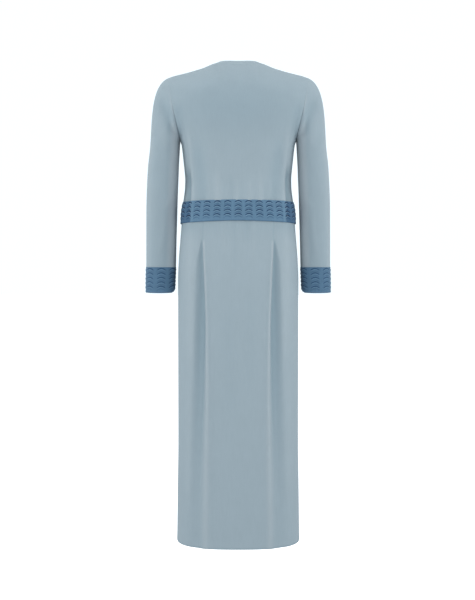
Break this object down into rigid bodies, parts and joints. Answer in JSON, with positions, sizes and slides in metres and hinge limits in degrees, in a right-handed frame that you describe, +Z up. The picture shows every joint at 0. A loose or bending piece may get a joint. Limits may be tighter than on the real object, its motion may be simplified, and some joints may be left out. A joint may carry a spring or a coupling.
{
  "type": "knit dress",
  "caption": "Long-sleeved maxi knit dress, hollow and filled out as worn, with a scallop-relief waistband and cuffs, a high round neck and released back pleats.",
  "frame": {"origin": "on the centre plane at the level where the wearer's shoulders carry the dress, midway between back and front", "axes": "+Z up along the dress, -Y towards its front, +X towards the wearer's left"},
  "size_m": [0.5318, 0.2395, 1.3518],
  "materials": {
    "body_knit": "smooth fine jersey knit, matt, dusty blue",
    "band_knit": "scallop relief knit, matt, steel blue",
    "cuff_knit": "scallop relief knit, matt, darker steel blue"
  },
  "bodies": {
    "root": {"neckband": "body_knit", "bodice_back": "body_knit", "bodice_front": "body_knit", "sleeve_left": "body_knit", "sleeve_right": "body_knit", "cuff_left": "cuff_knit", "cuff_right": "cuff_knit", "waistband": "band_knit", "skirt_back": "body_knit", "skirt_front": "body_knit"}
  },
  "joints": []
}
